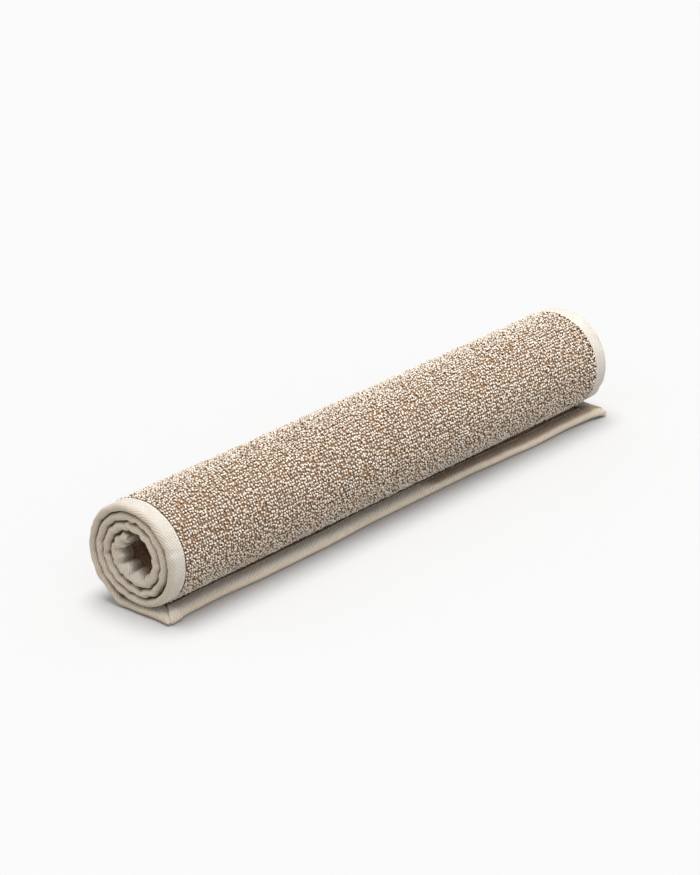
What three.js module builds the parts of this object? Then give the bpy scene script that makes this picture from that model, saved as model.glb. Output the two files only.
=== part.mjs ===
// Rolled bath mat. A looped-pile mat, bound on all four edges with woven tape, is wound into
// a roll that lies on the floor with its free edge in front. The pile faces out, the back in.
// Millimetres, +Z up, +X along the roll, -Y towards the free edge.
// The origin is on the floor, under the middle of the roll.
import * as THREE from "three";

// Mat and tape
const MAT_WIDTH = 600;
const TAPE_COVER = 14.7;
const TAPE_THICKNESS = 1;
const RIM_DEPTH = 3;
const GAP = 0.3;
const CHANNEL_GAP = 0.4;
const PILE_PROUD = 0.6;
const BACK_RECESS = 1;

// Roll: height of its axis, and the stretch of mat that lies flat on the floor
const AXIS_HEIGHT = 49.2;
const FREE_EDGE_Y = -41.8;
const LIFT_OFF_Y = 12;

// Places round one turn, in degrees from straight down, going up the rear and over the top
const PLACE = { heel: 28, rear: 90, end: 172, top: 180, front: 270, tuck: 318, bottom: 360 };
const PILE_FREE_ANGLE = 48;

// Radius of the mat's middle line round the axis at those places, from the outer turn inwards,
// with the bound mat's thickness, which grows as the tape bunches up on the tighter turns
const TURNS = [
  { thickness: 7.4, heel: 45.3, rear: 44.8, top: 43.9, front: 44.7, tuck: 43.1, bottom: 36.6 },
  { thickness: 7.4, rear: 36.7, top: 35.7, front: 36.3, tuck: 34.4, bottom: 28.2 },
  { thickness: 7.8, rear: 28.2, top: 27.2, front: 27.8, tuck: 25.2, bottom: 18.6 },
  { thickness: 8.2, rear: 18.7, end: 18 },
];

// Free edge as it was left: how far it lies forward of a straight line, and off the floor.
// Its right corner was pulled out to a point. Both fade out over a reach along the mat.
const FREE_EDGE = [
  { x: -300, forward: 1.5, lift: 0 },
  { x: -270, forward: -0.4, lift: 0 },
  { x: -235, forward: -1.3, lift: 0 },
  { x: -175, forward: 1.2, lift: 0 },
  { x: -100, forward: 1.1, lift: 0 },
  { x: -30, forward: -1.5, lift: 0 },
  { x: 100, forward: -1.5, lift: 0 },
  { x: 150, forward: 0.8, lift: 0 },
  { x: 195, forward: 3, lift: 0 },
  { x: 245, forward: 2.2, lift: 0.4 },
  { x: 285, forward: 5.3, lift: 1.6 },
  { x: 300, forward: 8, lift: 0.3 },
];
const FORWARD_REACH = 46;
const LIFT_REACH = 34;

// The rims of the turns wander in and out, and the tape puckers where it faces the core
const RIM_WANDER = { from: 190, depth: 0.8, wave: 195, drift: 0.8, driftWave: 295, rightPhase: 2 };
const PUCKER = {
  pitch: 15,
  firstValley: 8,
  sharpness: 0.8,
  coreSide: 0.8,
  innerTurn: 3,
  rimShare: 0.4,
  endReach: 6,
  fadeIn: 30,
  growth: 90,
};

// Rounded edge of the bound mat: depth in from the edge, and share of the half thickness there
const ROUNDING = [
  { depth: 0, share: 0.3 },
  { depth: 1.2, share: 0.78 },
  { depth: RIM_DEPTH + 0.2, share: 1 },
];

// Fineness of the faceted surfaces
const STEP_PER_RADIUS = 0.19;
const SHORTEST_STEP = 3.2;
const FLOOR_STEP = 13;
const PUCKER_STEP = 2.4;
const INNER_COLUMNS = FREE_EDGE.map((row) => row.x).filter((x) => Math.abs(x) < 250);
const UNDER_TAPE_DEPTHS = [6.4, 9.2, 12];

const { degToRad, radToDeg, smoothstep, clamp, lerp } = THREE.MathUtils;
const HALF_WIDTH = MAT_WIDTH / 2;
const FULL_TURN = 360;
const COVERED = TAPE_COVER + GAP;

// The roll's middle line as radius against angle
const floorDrop = AXIS_HEIGHT - TURNS[0].thickness / 2;
const angleOnFloor = (y) => radToDeg(Math.atan2(y, floorDrop));
const freeEdgeAngle = angleOnFloor(FREE_EDGE_Y);
const liftOffAngle = angleOnFloor(LIFT_OFF_Y);
const radiusOnFloor = (angle) => floorDrop / Math.cos(degToRad(angle));

// Knots of that line in order, each with the slope that carries it smoothly through
function radiusKnots() {
  const knots = [{ angle: liftOffAngle, radius: radiusOnFloor(liftOffAngle) }];
  TURNS.forEach((turn, count) => {
    for (const [name, angle] of Object.entries(PLACE)) {
      if (name in turn) {
        knots.push({ angle: count * FULL_TURN + angle, radius: turn[name] });
      }
    }
  });
  const rise = (a, b) => (b.radius - a.radius) / (b.angle - a.angle);
  const last = knots.length - 1;
  for (let i = 1; i < last; i += 1) {
    const [before, knot, after] = knots.slice(i - 1, i + 2);
    const share = (knot.angle - before.angle) / (after.angle - before.angle);
    knot.slope = lerp(rise(before, knot), rise(knot, after), share);
  }
  knots[0].slope = degToRad(knots[0].radius * Math.tan(degToRad(liftOffAngle)));
  knots[last].slope = rise(knots[last - 1], knots[last]);
  return knots;
}

const KNOTS = radiusKnots();
const END_ANGLE = KNOTS[KNOTS.length - 1].angle;

// On the floor the line is straight; past it the radius runs smoothly from knot to knot
function radiusAt(angle) {
  if (angle <= liftOffAngle) {
    return radiusOnFloor(angle);
  }
  const i = clamp(KNOTS.findIndex((knot) => knot.angle >= angle), 1, KNOTS.length - 1);
  const [a, b] = [KNOTS[i - 1], KNOTS[i]];
  const span = b.angle - a.angle;
  const t = (angle - a.angle) / span;
  return (
    (1 + 2 * t) * (1 - t) ** 2 * a.radius +
    t * (1 - t) ** 2 * span * a.slope +
    t * t * (3 - 2 * t) * b.radius +
    t * t * (t - 1) * span * b.slope
  );
}

function thicknessAt(angle) {
  const turn = clamp(angle / FULL_TURN, 0, TURNS.length - 1);
  const i = Math.min(Math.floor(turn), TURNS.length - 2);
  return lerp(TURNS[i].thickness, TURNS[i + 1].thickness, turn - i);
}

// The middle line walked in small steps, so that any point is found by its distance s along it
const WALK_DEGREES = 0.25;
const walk = [];
for (let angle = freeEdgeAngle; angle < END_ANGLE + WALK_DEGREES; angle += WALK_DEGREES) {
  const at = Math.min(angle, END_ANGLE);
  const radius = radiusAt(at);
  const y = radius * Math.sin(degToRad(at));
  const z = AXIS_HEIGHT - radius * Math.cos(degToRad(at));
  const last = walk[walk.length - 1];
  const s = last ? last.s + Math.hypot(y - last.y, z - last.z) : 0;
  walk.push({ s, angle: at, radius, y, z });
}
const MAT_LENGTH = walk[walk.length - 1].s;

// Point, outward direction, angle and half thickness at distance s from the free edge
function middleAt(s) {
  const i = clamp(walk.findIndex((point) => point.s >= s), 1, walk.length - 1);
  const [a, b] = [walk[i - 1], walk[i]];
  const t = (s - a.s) / (b.s - a.s || 1);
  const before = walk[Math.max(i - 3, 0)];
  const after = walk[Math.min(i + 2, walk.length - 1)];
  const run = Math.hypot(after.y - before.y, after.z - before.z);
  const angle = lerp(a.angle, b.angle, t);
  return {
    s,
    angle,
    radius: lerp(a.radius, b.radius, t),
    y: lerp(a.y, b.y, t),
    z: lerp(a.z, b.z, t),
    outY: (after.z - before.z) / run,
    outZ: (before.y - after.y) / run,
    half: thicknessAt(angle) / 2,
  };
}

const wave = (along, length) => Math.sin((2 * Math.PI * along) / length);

// How far the rim of a turn stands in from the mat's full width
function rimWander(s, side) {
  const drift = RIM_WANDER.drift * wave(s, RIM_WANDER.driftWave);
  const phase = drift + (side > 0 ? RIM_WANDER.rightPhase : 0);
  return (RIM_WANDER.depth / 2) * (1 + Math.sin((2 * Math.PI * s) / RIM_WANDER.wave + phase));
}

// How far the free edge lies forward and off the floor at x
function freeEdgeAt(x) {
  const next = FREE_EDGE.findIndex((row) => row.x >= x);
  const i = clamp(next, 1, FREE_EDGE.length - 1);
  const [a, b] = [FREE_EDGE[i - 1], FREE_EDGE[i]];
  const t = smoothstep(x, a.x, b.x);
  return { forward: lerp(a.forward, b.forward, t), lift: lerp(a.lift, b.lift, t) };
}

// A point of the rolled mat: x across it, at a station s along it, n outwards from its middle
function place(station, x, n) {
  const edge = freeEdgeAt(x);
  const forward = edge.forward * (1 - smoothstep(station.s, 0, FORWARD_REACH));
  const lift = edge.lift * (1 - smoothstep(station.s, 0, LIFT_REACH));
  const atRim = smoothstep(Math.abs(x), RIM_WANDER.from, HALF_WIDTH - TAPE_COVER * 2);
  return new THREE.Vector3(
    x - Math.sign(x) * atRim * rimWander(station.s, x),
    station.y + station.outY * n - forward,
    station.z + station.outZ * n + lift
  );
}

// Closed body through matching rings of points; the caps are triangles over one ring's points
function loft(rings, firstCap, lastCap) {
  const count = rings[0].length;
  const positions = rings.flat().flatMap((point) => [point.x, point.y, point.z]);
  const index = [];
  for (let i = 0; i + 1 < rings.length; i += 1) {
    for (let j = 0; j < count; j += 1) {
      const a = i * count + j;
      const b = i * count + ((j + 1) % count);
      index.push(a, b + count, b, a, a + count, b + count);
    }
  }
  const last = (rings.length - 1) * count;
  for (const [a, b, c] of firstCap) {
    index.push(a, c, b);
  }
  for (const [a, b, c] of lastCap) {
    index.push(last + a, last + b, last + c);
  }
  const geometry = new THREE.BufferGeometry();
  geometry.setAttribute("position", new THREE.Float32BufferAttribute(positions, 3));
  geometry.setIndex(index);
  geometry.computeVertexNormals();
  return geometry;
}

// Cap over a ring whose points run across the outer face and back across the inner one
function slabCap(columns) {
  const triangles = [];
  for (let j = 0; j + 1 < columns; j += 1) {
    const back = 2 * columns - 1 - j;
    triangles.push([j, back - 1, j + 1], [j, back, back - 1]);
  }
  return triangles;
}

const outlineCap = (outline) => THREE.ShapeUtils.triangulateShape(outline, []);

// Distances along the mat where its surfaces get a ring of points
function mainStations() {
  const stops = [];
  let s = COVERED + GAP;
  while (s < MAT_LENGTH - COVERED - GAP) {
    stops.push(s);
    const { radius, angle } = middleAt(s);
    const onFloor = angle < angleOnFloor(LIFT_OFF_Y - SHORTEST_STEP);
    s += onFloor ? FLOOR_STEP : Math.max(SHORTEST_STEP, radius * STEP_PER_RADIUS);
  }
  return stops;
}

const MAIN_STOPS = mainStations();

// Pile cloth: thin under the tape, full between, with its pile proud of the tape on the outside
const sideEdge = HALF_WIDTH - RIM_DEPTH - CHANNEL_GAP;
const sideThin = HALF_WIDTH - COVERED - RIM_WANDER.depth;

function clothHalves(station, x) {
  const fromEnd = Math.min(station.s, MAT_LENGTH - station.s);
  if (Math.abs(x) > sideThin - GAP / 2 || fromEnd < COVERED + GAP / 2) {
    const half = station.half - TAPE_THICKNESS - CHANNEL_GAP;
    return { outer: half, inner: half };
  }
  const offFloor = smoothstep(station.angle, liftOffAngle, PILE_FREE_ANGLE);
  return { outer: station.half + PILE_PROUD * offFloor, inner: station.half - BACK_RECESS };
}

function pileCloth() {
  const columns = [-sideEdge, -sideThin, GAP - sideThin, ...INNER_COLUMNS];
  columns.push(sideThin - GAP, sideThin, sideEdge);
  const fromEdge = [RIM_DEPTH + CHANNEL_GAP + GAP, ...UNDER_TAPE_DEPTHS, COVERED];
  const fromInnerEdge = [...fromEdge, COVERED + GAP].toReversed();
  const stops = [...fromEdge, ...MAIN_STOPS, ...fromInnerEdge.map((depth) => MAT_LENGTH - depth)];
  const rings = stops.map((s) => {
    const station = middleAt(s);
    return [
      ...columns.map((x) => place(station, x, clothHalves(station, x).outer)),
      ...columns.toReversed().map((x) => place(station, x, -clothHalves(station, x).inner)),
    ];
  });
  return loft(rings, slabCap(columns.length), slabCap(columns.length));
}

// Share of the half thickness left near a rounded edge
function roundedShare(depth) {
  const i = ROUNDING.findIndex((row) => row.depth >= depth);
  if (i < 0) {
    return 1;
  }
  const [a, b] = [ROUNDING[Math.max(i - 1, 0)], ROUNDING[i]];
  return lerp(a.share, b.share, (depth - a.depth) / (b.depth - a.depth || 1));
}

// Puckers of the tape on the faces that look into the core, highest on the innermost turn
const coreSideStart = END_ANGLE - FULL_TURN;
const innerTurnStart = END_ANGLE - PLACE.end;

function puckerAt(station) {
  const { angle, s } = station;
  const reach = smoothstep(angle, coreSideStart, coreSideStart + PUCKER.fadeIn);
  const innerTurn = smoothstep(angle, innerTurnStart - PUCKER.growth, innerTurnStart);
  const height = reach * lerp(PUCKER.coreSide, PUCKER.innerTurn, innerTurn);
  const count = (MAT_LENGTH - s - PUCKER.firstValley) / PUCKER.pitch;
  return height * Math.abs(Math.sin(Math.PI * count)) ** PUCKER.sharpness;
}

// Side tape: folded round the mat's side edge and closed over the mat's two corners
function sideTape(side) {
  const cornerDepths = [...ROUNDING.map((row) => row.depth), RIM_DEPTH];
  const endDepths = [...cornerDepths, ...UNDER_TAPE_DEPTHS, TAPE_COVER].sort((a, b) => a - b);
  const stops = [...endDepths];
  MAIN_STOPS.forEach((s, i) => {
    stops.push(s);
    const next = MAIN_STOPS[i + 1] ?? MAT_LENGTH - TAPE_COVER;
    if (middleAt(s).angle > coreSideStart && next - s > PUCKER_STEP) {
      stops.push((s + next) / 2);
    }
  });
  stops.push(...endDepths.toReversed().map((depth) => MAT_LENGTH - depth));
  const outlines = stops.map((s) => sideTapeOutline(middleAt(s), side));
  const rings = outlines.map((outline, i) => {
    const station = middleAt(stops[i]);
    return outline.map((point) => place(station, point.x, point.y));
  });
  return loft(rings, outlineCap(outlines[0]), outlineCap(outlines[outlines.length - 1]));
}

// Its section at one station: two legs joined at the rim, solid where it closes over a corner
function sideTapeOutline(station, side) {
  const fromEnd = Math.min(station.s, MAT_LENGTH - station.s);
  const closed = fromEnd <= RIM_DEPTH;
  const share = roundedShare(fromEnd);
  const half = station.half * share;
  const pucker = puckerAt(station) * share * smoothstep(fromEnd, 0, PUCKER.endReach);
  const floor = closed ? TAPE_COVER - CHANNEL_GAP : RIM_DEPTH;
  const wall = closed ? half / 2 : station.half - TAPE_THICKNESS;
  const [rim, bend, face] = ROUNDING;
  const outline = [
    [TAPE_COVER, half],
    [face.depth, half],
    [bend.depth, half * bend.share],
    [rim.depth, half * rim.share],
    [rim.depth, -half * rim.share],
    [bend.depth, -half * bend.share - pucker * PUCKER.rimShare],
    [face.depth, -half - pucker],
    [TAPE_COVER, -half],
    [TAPE_COVER, -wall],
    [floor, -wall],
    [floor, wall],
    [TAPE_COVER, wall],
  ].map(([depth, n]) => new THREE.Vector2(side * (HALF_WIDTH - depth), n));
  return side < 0 ? outline.toReversed() : outline;
}

// End tape: folded round the free edge or the inner edge, between the two side tapes
function endTape(inner) {
  const end = HALF_WIDTH - COVERED;
  const columns = [-end, ...INNER_COLUMNS, end];
  const legs = [TAPE_COVER, ...UNDER_TAPE_DEPTHS.toReversed()];
  const outside = [...legs.map((depth) => ({ depth, share: 1 })), ...ROUNDING.toReversed()];
  const channel = [RIM_DEPTH, ...legs.toReversed()];
  const row = (depth, heightFrom) => {
    const station = middleAt(inner ? MAT_LENGTH - depth : depth);
    return { station, n: heightFrom(station.half) };
  };
  const rows = [
    ...outside.map(({ depth, share }) => row(depth, (half) => half * share)),
    ...outside.toReversed().map(({ depth, share }) => row(depth, (half) => -half * share)),
    ...channel.toReversed().map((depth) => row(depth, (half) => TAPE_THICKNESS - half)),
    ...channel.map((depth) => row(depth, (half) => half - TAPE_THICKNESS)),
  ];
  if (inner) {
    rows.reverse();
  }
  const outline = rows.map(({ station, n }) => new THREE.Vector2(-station.s, n));
  const rings = columns.map((x) => rows.map(({ station, n }) => place(station, x, n)));
  return loft(rings, outlineCap(outline), outlineCap(outline));
}

const pileFinish = new THREE.MeshStandardMaterial({ color: 0xc3ac93, roughness: 1, metalness: 0 });
const tapeFinish = new THREE.MeshStandardMaterial({ color: 0xe9e2d8, roughness: 0.9, metalness: 0 });

const mat = new THREE.Group();

function addPiece(name, geometry, finish) {
  const piece = new THREE.Mesh(geometry, finish.clone());
  piece.name = name;
  mat.add(piece);
}

addPiece("pile_cloth", pileCloth(), pileFinish);
addPiece("side_tape_left", sideTape(-1), tapeFinish);
addPiece("side_tape_right", sideTape(1), tapeFinish);
addPiece("end_tape_outer", endTape(false), tapeFinish);
addPiece("end_tape_inner", endTape(true), tapeFinish);

export default mat;
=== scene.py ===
# %% [markdown]
# # A rolled bath mat
# A looped-pile bath mat, bound on all four edges with folded cotton tape, has been wound up from
# one end and put down on its seam, so that its free edge lies flat in front of the roll.
# This file dresses the mat's plain solids: the cells go from the winding, through the cloth, its
# loops, the tape and the sewing, to the floor, the light and the camera. Sizes are in metres, but
# for two tables in millimetres.

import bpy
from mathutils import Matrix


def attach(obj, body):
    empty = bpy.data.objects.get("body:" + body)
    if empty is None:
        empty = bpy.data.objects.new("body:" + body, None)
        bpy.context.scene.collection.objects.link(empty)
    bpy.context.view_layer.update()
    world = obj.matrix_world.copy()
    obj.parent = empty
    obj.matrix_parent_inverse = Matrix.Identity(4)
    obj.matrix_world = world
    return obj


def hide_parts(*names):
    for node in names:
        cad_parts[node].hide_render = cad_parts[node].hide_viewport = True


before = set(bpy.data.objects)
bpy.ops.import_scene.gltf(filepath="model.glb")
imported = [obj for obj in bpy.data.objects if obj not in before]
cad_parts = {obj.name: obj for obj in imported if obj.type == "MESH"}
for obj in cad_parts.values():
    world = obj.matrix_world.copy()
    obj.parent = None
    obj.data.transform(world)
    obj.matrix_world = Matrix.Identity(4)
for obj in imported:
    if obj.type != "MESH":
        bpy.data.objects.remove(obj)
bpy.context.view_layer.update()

# %% Tools used throughout
import math

import bpy
import numpy as np
from mathutils import Vector

MM = 0.001
SEED = 20
draw = np.random.default_rng(SEED)
print("Blender", bpy.app.version_string)

# %% [markdown]
# ## The winding
# In a real roll the cloth follows a spiral that was never drawn with compasses: it lies flat under
# the roll, lifts off, and each turn hugs the one inside it. It could be traced as a Bezier curve,
# but every piece here has to follow it, so it is better kept as a function: give it a distance
# along the mat and it gives the place and the outward direction there. The radii of the turns are
# the few numbers in the table, and a smooth curve runs through them.

# %% Sizes of the mat and of its winding
MAT_WIDTH = 600 * MM
TAPE_COVER = 17 * MM
AXIS_HEIGHT = 49.2 * MM
FREE_EDGE_Y = -41.8 * MM
LIFT_OFF_Y = 12 * MM
HALF_WIDTH = MAT_WIDTH / 2

# Places round a turn, in degrees from straight below. Then, for each turn, the thickness of its
# cloth and the radius of its middle line at those places, in millimetres
PLACE = dict(heel=28, rear=90, end=172, top=180, front=270, tuck=318, bottom=360)
TURNS = [
    dict(thickness=7.4, heel=45.3, rear=44.8, top=43.9, front=44.7, tuck=43.1, bottom=36.6),
    dict(thickness=7.4, rear=36.7, top=35.7, front=36.3, tuck=34.4, bottom=28.2),
    dict(thickness=7.8, rear=28.2, top=27.2, front=27.8, tuck=25.2, bottom=18.6),
    dict(thickness=8.2, rear=18.7, end=18),
]
THICKNESSES = np.array([turn["thickness"] * MM for turn in TURNS])
floor_drop = AXIS_HEIGHT - THICKNESSES[0] / 2
free_edge_angle = math.degrees(math.atan2(FREE_EDGE_Y, floor_drop))
lift_off_angle = math.degrees(math.atan2(LIFT_OFF_Y, floor_drop))
print(f"the cloth lifts off the floor {lift_off_angle:.1f} degrees behind the lowest line")


# %% The middle line of the cloth, from its free edge to its inner end
WALK_STEP = 0.1


def middle_line_knots():
    """Angles, radii and slopes of the points that the smooth curve runs through."""
    knots = [(lift_off_angle, floor_drop / math.cos(math.radians(lift_off_angle)))]
    for count, turn in enumerate(TURNS):
        knots += [
            (count * 360 + PLACE[name], turn[name] * MM) for name in PLACE if name in turn
        ]
    angle, radius = np.array(knots).T
    rise = np.diff(radius) / np.diff(angle)
    share = np.diff(angle)[:-1] / (angle[2:] - angle[:-2])
    slope = np.empty_like(angle)
    slope[1:-1] = rise[:-1] * (1 - share) + rise[1:] * share
    slope[0] = math.radians(radius[0] * math.tan(math.radians(lift_off_angle)))
    slope[-1] = rise[-1]
    return angle, radius, slope


def radius_at(angle, knots):
    """The middle line's radius at these angles: a straight line on the floor, then the curve."""
    at, radius, slope = knots
    i = np.clip(np.searchsorted(at, angle), 1, len(at) - 1)
    span = at[i] - at[i - 1]
    t = (angle - at[i - 1]) / span
    curve = (
        (1 + 2 * t) * (1 - t) ** 2 * radius[i - 1]
        + t * (1 - t) ** 2 * span * slope[i - 1]
        + t * t * (3 - 2 * t) * radius[i]
        + t * t * (t - 1) * span * slope[i]
    )
    return np.where(angle <= lift_off_angle, floor_drop / np.cos(np.radians(angle)), curve)


KNOTS = middle_line_knots()
END_ANGLE = KNOTS[0][-1]
walk_angle = np.arange(free_edge_angle, END_ANGLE, WALK_STEP)
walk_radius = radius_at(walk_angle, KNOTS)
walk_y = walk_radius * np.sin(np.radians(walk_angle))
walk_z = AXIS_HEIGHT - walk_radius * np.cos(np.radians(walk_angle))
walk_s = np.concatenate([[0], np.cumsum(np.hypot(np.diff(walk_y), np.diff(walk_z)))])
MAT_LENGTH = float(walk_s[-1])
print(f"the mat is {MAT_LENGTH:.3f} m long and makes {END_ANGLE / 360:.2f} turns")


# %% [markdown]
# A hand-rolled mat isn't perfect. Its free edge waves, one corner of it was pulled out to a point,
# and the rims of the turns stand in and out by a fraction of a millimetre. These small errors
# belong to the whole mat, so they sit in the one function that places every point, and all pieces
# share them.

# %% The free edge as it was left, in millimetres
FREE_EDGE = [
    dict(x=-300, forward=1.5, lift=0),
    dict(x=-270, forward=-0.4, lift=0),
    dict(x=-235, forward=-1.3, lift=0),
    dict(x=-175, forward=1.2, lift=0),
    dict(x=-100, forward=1.1, lift=0),
    dict(x=-30, forward=-1.5, lift=0),
    dict(x=100, forward=-1.5, lift=0),
    dict(x=150, forward=0.8, lift=0),
    dict(x=195, forward=3, lift=0),
    dict(x=245, forward=2.2, lift=0.4),
    dict(x=285, forward=5.3, lift=1.6),
    dict(x=300, forward=8, lift=0.3),
]
FORWARD_REACH = 46 * MM
LIFT_REACH = 34 * MM
RIM_WANDER = dict(depth=0.8 * MM, wave=195 * MM, drift=0.8, drift_wave=295 * MM, right_phase=2)
WANDER_FROM = 190 * MM
EDGE_SAG = dict(depth=1.0 * MM, reach=9 * MM)
print("the far corner was pulled forward by", FREE_EDGE[-1]["forward"], "mm")


# %% Measures along the winding
def smooth(value, low, high):
    """0 below low, 1 above high, and a soft step between."""
    t = np.clip((value - low) / (high - low), 0, 1)
    return t * t * (3 - 2 * t)


def bell(distance, width):
    """1 at no distance, and less and less beyond width."""
    return np.exp(-((distance / width) ** 2))


def thickness_at(angle):
    return np.interp(np.asarray(angle) / 360, range(len(THICKNESSES)), THICKNESSES)


def angle_at(s):
    return np.interp(s, walk_s, walk_angle)


def along(s):
    """The middle line's y and z at s, and the direction that points out of the roll there."""
    step_y, step_z = np.gradient(walk_y, walk_s), np.gradient(walk_z, walk_s)
    run = np.hypot(step_y, step_z)
    columns = (walk_y, walk_z, step_z / run, -step_y / run)
    return [np.interp(s, walk_s, column) for column in columns]


print(f"the first full turn ends {np.interp(360, walk_angle, walk_s):.3f} m from the free edge")

# %% Place any point of the mat
edge_x = np.array([row["x"] for row in FREE_EDGE]) * MM
edge_moves = np.array([[row["forward"], row["lift"]] for row in FREE_EDGE]) * MM


def rim_wander(s, x):
    """How far the rim stands in from the straight, at s along the mat."""
    drift = RIM_WANDER["drift"] * np.sin(2 * np.pi * s / RIM_WANDER["drift_wave"])
    phase = drift + np.where(x > 0, RIM_WANDER["right_phase"], 0)
    return RIM_WANDER["depth"] / 2 * (1 + np.sin(2 * np.pi * s / RIM_WANDER["wave"] + phase))


def free_edge_at(x):
    """How far the free edge lies forward and off the floor at x."""
    i = np.clip(np.searchsorted(edge_x, x), 1, len(edge_x) - 1)
    t = smooth(x, edge_x[i - 1], edge_x[i])[..., None]
    moves = edge_moves[i - 1] * (1 - t) + edge_moves[i] * t
    return moves[..., 0], moves[..., 1]


def place(s, x, n):
    """Points of the rolled mat: x across it, s along it, and n outwards from its middle."""
    s, x, n = np.broadcast_arrays(s, x, n)
    y, z, out_y, out_z = along(s)
    forward, lift = free_edge_at(x)
    at_rim = smooth(np.abs(x), WANDER_FROM, HALF_WIDTH - 2 * TAPE_COVER)
    placed_x = x - np.sign(x) * at_rim * rim_wander(s, x)
    placed_y = y + out_y * n - forward * (1 - smooth(s, 0, FORWARD_REACH))
    sag = EDGE_SAG["depth"] * (1 - smooth(s, 0, EDGE_SAG["reach"]))
    placed_z = z + out_z * n + lift * (1 - smooth(s, 0, LIFT_REACH)) - sag
    return np.stack([placed_x, placed_y, np.maximum(placed_z, 0)], axis=-1)


print("the middle of the inner end is at", place(MAT_LENGTH, 0.0, 0.0).round(4))

# %% [markdown]
# ## Making meshes from grids
# Cloth is most easily made as a grid of points, ring after ring, closed at both ends. Blender can
# take whole arrays of points and faces at once, which is far quicker than adding them one by one.
# Each grid also gets a UV map that measures the cloth itself in metres, so that a weave can follow
# it round the roll.

# %% Turn arrays into an object
pieces = []


def new_piece(name, points, faces, finish, maps=None):
    """Makes an object of these points and faces. maps holds UV maps, one row for each corner."""
    mesh = bpy.data.meshes.new(name)
    corners = np.concatenate([face.ravel() for face in faces]).astype(np.int32)
    sizes = np.concatenate([np.full(len(face), face.shape[1]) for face in faces])
    mesh.vertices.add(len(points))
    mesh.vertices.foreach_set("co", np.asarray(points, np.float32).ravel())
    mesh.loops.add(len(corners))
    mesh.loops.foreach_set("vertex_index", corners)
    mesh.polygons.add(len(sizes))
    starts = np.concatenate([[0], np.cumsum(sizes)[:-1]]).astype(np.int32)
    mesh.polygons.foreach_set("loop_start", starts)
    mesh.update(calc_edges=True)
    for map_name, rows in (maps or {}).items():
        layer = mesh.uv_layers.new(name=map_name)
        layer.data.foreach_set("uv", np.asarray(rows, np.float32).ravel())
    mesh.validate()
    mesh.shade_smooth()
    mesh.materials.append(finish)
    piece = bpy.data.objects.new(name, mesh)
    bpy.context.scene.collection.objects.link(piece)
    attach(piece, "root")
    pieces.append(piece)
    triangles = int((sizes - 2).sum())
    print(f"{name}: {triangles} triangles")
    return piece


# %% Loft a closed body through rings
def tube_faces(rings, columns):
    """Quads of a closed tube of rings, and where each corner lies on a grid one column wider."""
    i, j = np.meshgrid(np.arange(rings - 1), np.arange(columns), indexing="ij")
    next_j = (j + 1) % columns
    quads = np.stack(
        [i * columns + j, (i + 1) * columns + j, (i + 1) * columns + next_j, i * columns + next_j],
        axis=-1,
    ).reshape(-1, 4)
    grid = np.stack([i, j, i + 1, j, i + 1, j + 1, i, j + 1], axis=-1).reshape(-1, 4, 2)
    return quads, grid


def lofted(name, points, across, lengthwise, finish, flip=False):
    """A closed body through rings of points. across and lengthwise measure the cloth on them."""
    rings, columns = points.shape[:2]
    quads, grid = tube_faces(rings, columns)
    caps = [np.arange(columns)[None, :], np.arange(columns)[None, ::-1] + (rings - 1) * columns]
    side_map = np.stack([across[grid[..., 1]], lengthwise[grid[..., 0]]], axis=-1).reshape(-1, 2)
    cap_u = np.concatenate([np.arange(columns), np.arange(columns)[::-1]]) * MM
    cap_map = np.stack([cap_u, np.repeat(lengthwise[[0, -1]], columns)], axis=-1)
    faces = [quads, *caps]
    if flip:
        faces = [face[:, ::-1] for face in faces]
        side_map = side_map.reshape(-1, 4, 2)[:, ::-1].reshape(-1, 2)
        cap_map = np.concatenate([cap_map[:columns][::-1], cap_map[columns:][::-1]])
    maps = {"cloth": np.concatenate([side_map, cap_map])}
    return new_piece(name, points.reshape(-1, 3), faces, finish, maps)


# %% [markdown]
# ## Finishes
# Cotton is matt, so nearly all of its look is in the colour and in the small relief. The finishes
# read the cloth's own measures from a UV map, and work out the weave or the twist from them with a
# few sums. A photograph could give the same, but a sum stays sharp at any distance.

# %% Short ways to add nodes
def node(tree, kind, inputs=None, **settings):
    """Adds a node. An input is a number, a colour or another node's output."""
    made = tree.nodes.new(kind)
    for key, value in settings.items():
        setattr(made, key, value)
    for key, value in (inputs or {}).items():
        if isinstance(value, bpy.types.NodeSocket):
            tree.links.new(value, made.inputs[key])
        else:
            made.inputs[key].default_value = value
    return made


def maths(tree, operation, *values):
    return node(tree, "ShaderNodeMath", dict(enumerate(values)), operation=operation).outputs[0]


def mixed(tree, share, first, second):
    """A mix of two colours."""
    inputs = {0: share, 6: first, 7: second}
    return node(tree, "ShaderNodeMix", inputs, data_type="RGBA", blend_type="MIX").outputs[2]


def noise(tree, scale, detail=2.0):
    """Noise in the object's own metres, so that its grain has a real size."""
    place_in_metres = node(tree, "ShaderNodeTexCoord").outputs["Object"]
    inputs = dict(Vector=place_in_metres, Scale=scale, Detail=detail)
    return node(tree, "ShaderNodeTexNoise", inputs).outputs["Fac"]


def ranged(tree, value, low, high, to_low, to_high):
    """value, spread from low..high to to_low..to_high and clamped."""
    inputs = {0: value, 1: low, 2: high, 3: to_low, 4: to_high}
    return node(tree, "ShaderNodeMapRange", inputs).outputs[0]


def measures(tree, map_name):
    """The two measures that a UV map holds."""
    uv = node(tree, "ShaderNodeUVMap", uv_map=map_name).outputs[0]
    return node(tree, "ShaderNodeSeparateXYZ", {0: uv}).outputs[:2]


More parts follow.
